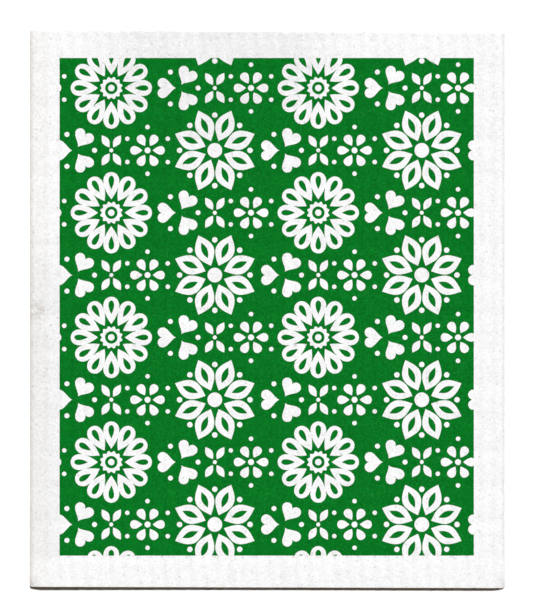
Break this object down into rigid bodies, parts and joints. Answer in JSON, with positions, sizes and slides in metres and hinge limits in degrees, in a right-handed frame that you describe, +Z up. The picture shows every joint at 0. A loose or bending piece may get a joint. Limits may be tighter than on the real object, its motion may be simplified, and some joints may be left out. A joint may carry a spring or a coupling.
{
  "type": "sponge cloth",
  "caption": "Flat rectangular cellulose sponge cloth for wiping, ribbed and cross-grooved, with a green floral print on one face",
  "frame": {"origin": "on the surface that the cloth lies on, under the middle of its outline", "axes": "X across the ribs, Y along the ribs and the cloth's long side, Z up out of the printed face"},
  "size_m": [0.17, 0.2, 0.002],
  "materials": {
    "cellulose": "matte, fibrous and porous, off-white with a matte green water-based print on the upper face"
  },
  "bodies": {
    "root": {"sponge_cloth": "cellulose"}
  },
  "joints": []
}
